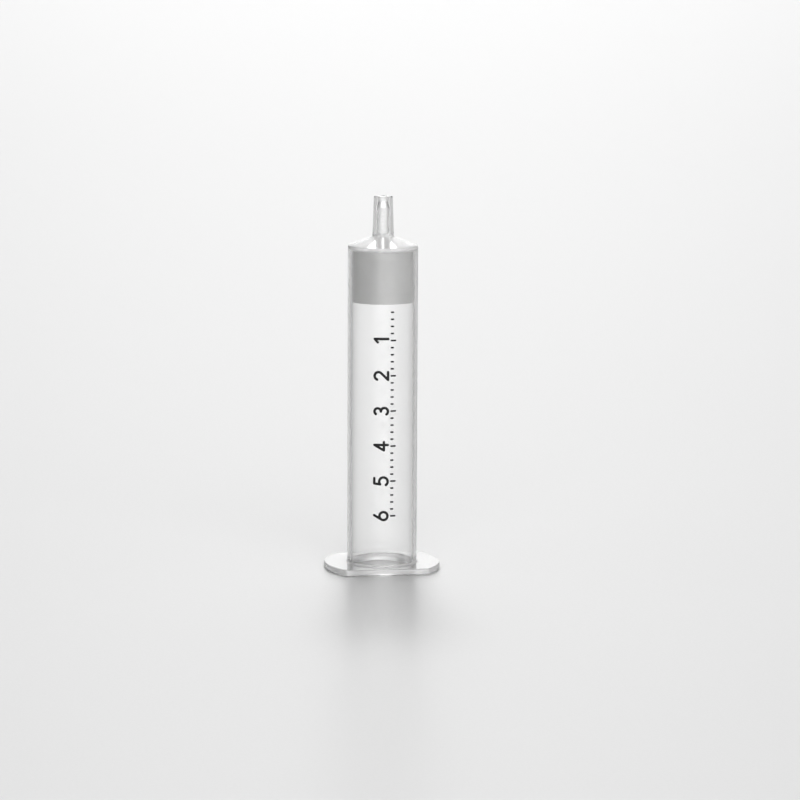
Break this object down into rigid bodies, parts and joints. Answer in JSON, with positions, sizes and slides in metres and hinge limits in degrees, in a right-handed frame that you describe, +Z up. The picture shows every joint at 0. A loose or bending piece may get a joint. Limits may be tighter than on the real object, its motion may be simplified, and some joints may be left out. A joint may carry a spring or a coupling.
{
  "type": "spe cartridge",
  "caption": "Clear syringe-barrel extraction cartridge standing on its oblong finger flange, luer tip upwards, with a bed of pale sorbent held between porous frits.",
  "frame": {"origin": "centre of the flange's outer face, which is the plane of the barrel's open mouth and the surface the cartridge stands on", "axes": "+Z up the barrel's axis from the mouth to the luer tip, X along the flange's long axis, Y across its two straight sides"},
  "size_m": [0.025, 0.0196, 0.0801],
  "materials": {
    "clear_polypropylene": "clear, glossy as moulded",
    "sintered_polyethylene": "matt, porous",
    "bonded_silica": "matt, packed powder",
    "printed_ink": "black pad-printed scale on the barrel"
  },
  "bodies": {
    "root": {"barrel": "clear_polypropylene", "outlet_frit": "sintered_polyethylene", "sorbent_bed": "bonded_silica", "inlet_frit": "sintered_polyethylene"}
  },
  "joints": []
}
